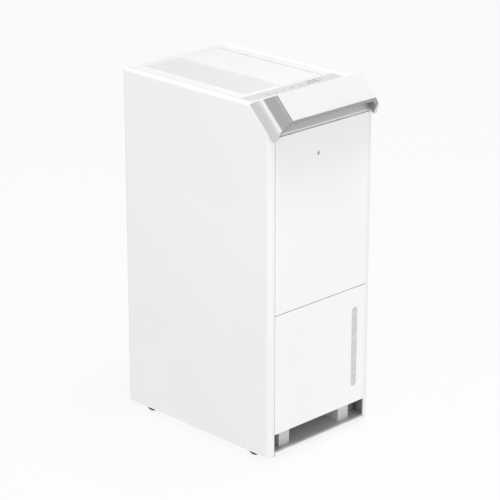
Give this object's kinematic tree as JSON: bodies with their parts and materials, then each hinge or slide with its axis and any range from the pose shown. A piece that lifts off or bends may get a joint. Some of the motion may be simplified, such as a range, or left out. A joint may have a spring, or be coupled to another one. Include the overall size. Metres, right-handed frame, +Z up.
{
  "type": "dehumidifier",
  "caption": "Slim white tower dehumidifier with a pull-out water tank, level window, angled silver handle cowl, top outlet with flap, touch strip and rollers.",
  "frame": {"origin": "on the floor, under the middle of the outline's bounding box", "axes": "+Z up; the front with the water tank and the handle cowl's nose faces -Y; +X is the appliance's width, with the level window on the +X side"},
  "size_m": [0.25, 0.3894, 0.6513],
  "materials": {
    "white_plastic": "fine satin white housing plastic",
    "panel_grey": "pale grey satin plastic",
    "visor_silver": "satin silver-grey paint",
    "window_smoke": "translucent grey",
    "display_lens": "pale grey display lens",
    "tank_clear": "translucent tank plastic",
    "inner_white": "moulded inner plastic",
    "black_rubber": "matt rubber",
    "steel": "plain steel",
    "black_steel": "black enamel",
    "fin_aluminium": "bright fins",
    "copper": "bare copper tube",
    "circuit_board": "solder mask",
    "float_foam": "foam float"
  },
  "bodies": {
    "cabinet": {"accumulator": "black_steel", "axle_front_left": "steel", "axle_front_right": "steel", "axle_rear_left": "steel", "axle_rear_right": "steel", "base_pan": "white_plastic", "bulkhead": "inner_white", "capillary_tube": "copper", "compressor": "black_steel", "compressor_grommet_1": "black_rubber", "compressor_grommet_2": "black_rubber", "compressor_grommet_3": "black_rubber", "compressor_inlet_pipe": "copper", "condenser": "fin_aluminium", "control_board": "circuit_board", "control_panel": "panel_grey", "cord_gland": "black_rubber", "discharge_line": "copper", "display_window": "display_lens", "drip_tray": "inner_white", "evaporator": "fin_aluminium", "fan_housing": "inner_white", "fan_motor": "steel", "front_panel": "white_plastic", "humidity_sensor": "inner_white", "motor_mount": "black_steel", "outlet_duct": "inner_white", "outlet_grille": "panel_grey", "rear_cover": "white_plastic", "run_capacitor": "fin_aluminium", "side_panel_left": "white_plastic", "side_panel_right": "white_plastic", "suction_line": "copper", "tank_switch": "black_steel", "top_deck": "white_plastic", "visor_cover": "white_plastic", "visor_handle": "visor_silver"},
    "tank": {"tank_front": "white_plastic", "level_window": "window_smoke", "tank_bucket": "tank_clear", "tank_lid": "inner_white"},
    "float": {"tank_float": "float_foam"},
    "flap": {"outlet_flap": "white_plastic"},
    "filter": {"air_filter": "white_plastic"},
    "drain_plug": {"drain_cap": "black_rubber"},
    "impeller": {"fan_impeller": "inner_white"},
    "roller_front_left": {"wheel_front_left": "black_rubber"},
    "roller_front_right": {"wheel_front_right": "black_rubber"},
    "roller_rear_left": {"wheel_rear_left": "black_rubber"},
    "roller_rear_right": {"wheel_rear_right": "black_rubber"}
  },
  "joints": [
    {"name": "tank_slide", "type": "slide", "parent": "cabinet", "child": "tank", "axis": [0, -1, 0], "range_m": [0, 0.15]},
    {"name": "float_hinge", "type": "hinge", "parent": "tank", "child": "float", "pos_m": [0.04, -0.02347, 0.234], "axis": [-1, 0, 0], "range_deg": [0, 20]},
    {"name": "flap_hinge", "type": "hinge", "parent": "cabinet", "child": "flap", "pos_m": [0.0898, 0.05173, 0.6305], "axis": [0, 1, 0], "range_deg": [0, 75]},
    {"name": "filter_pull", "type": "slide", "parent": "cabinet", "child": "filter", "axis": [0, 1, 0], "range_m": [0, 0.035]},
    {"name": "drain_cap_pull", "type": "slide", "parent": "cabinet", "child": "drain_plug", "axis": [0, 1, 0], "range_m": [0, 0.03]},
    {"name": "fan_spin", "type": "hinge", "parent": "cabinet", "child": "impeller", "pos_m": [0, 0.05373, 0.40745], "axis": [0, 1, 0], "continuous": true},
    {"name": "roller_front_left_spin", "type": "hinge", "parent": "cabinet", "child": "roller_front_left", "pos_m": [-0.109, -0.11727, 0.0165], "axis": [1, 0, 0], "continuous": true},
    {"name": "roller_front_right_spin", "type": "hinge", "parent": "cabinet", "child": "roller_front_right", "pos_m": [0.109, -0.11727, 0.0165], "axis": [1, 0, 0], "continuous": true},
    {"name": "roller_rear_left_spin", "type": "hinge", "parent": "cabinet", "child": "roller_rear_left", "pos_m": [-0.109, 0.14473, 0.0165], "axis": [1, 0, 0], "continuous": true},
    {"name": "roller_rear_right_spin", "type": "hinge", "parent": "cabinet", "child": "roller_rear_right", "pos_m": [0.109, 0.14473, 0.0165], "axis": [1, 0, 0], "continuous": true}
  ]
}
